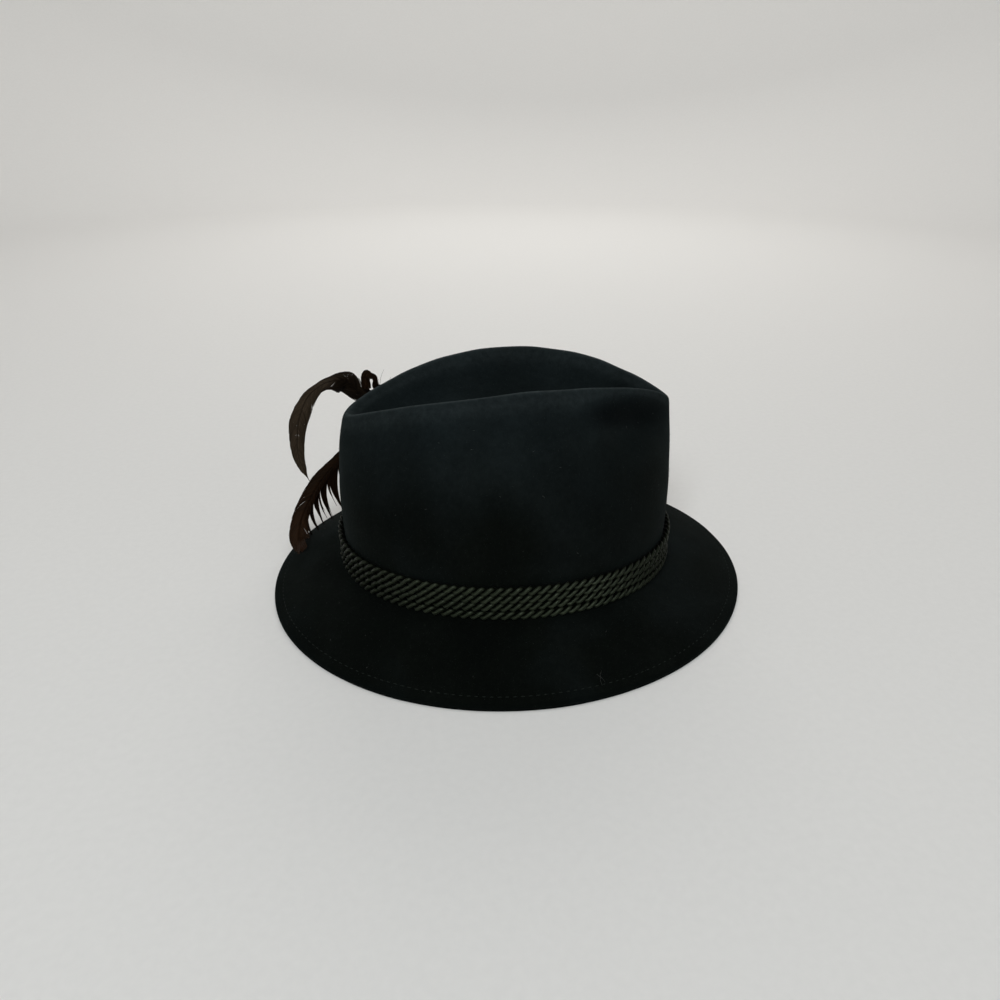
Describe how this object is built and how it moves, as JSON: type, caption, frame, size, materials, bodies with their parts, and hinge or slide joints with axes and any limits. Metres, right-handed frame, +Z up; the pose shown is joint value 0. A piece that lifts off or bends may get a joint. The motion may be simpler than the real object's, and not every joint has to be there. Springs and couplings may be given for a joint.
{
  "type": "tyrolean hat",
  "caption": "Felt hat with a tapered crown creased lengthwise and pinched near the front, a turned down brim, a band of twisted cords and a feather plume on the wearer's left.",
  "frame": {"origin": "the middle of the rim on the surface that the hat rests on", "axes": "+X to the hat's front, +Y to the wearer's left, +Z up"},
  "size_m": [0.2916, 0.258, 0.1337],
  "materials": {
    "felt": "dark green black wool felt with a short matt nap",
    "cord": "twisted rayon cord, dark olive green with a faint silky shine",
    "feather": "dark brown black cock feathers with loose barbs"
  },
  "bodies": {
    "root": {"felt_hood": "felt", "hat_cord_1": "cord", "hat_cord_2": "cord", "hat_cord_3": "cord", "hat_cord_4": "cord", "plume": "feather"}
  },
  "joints": []
}
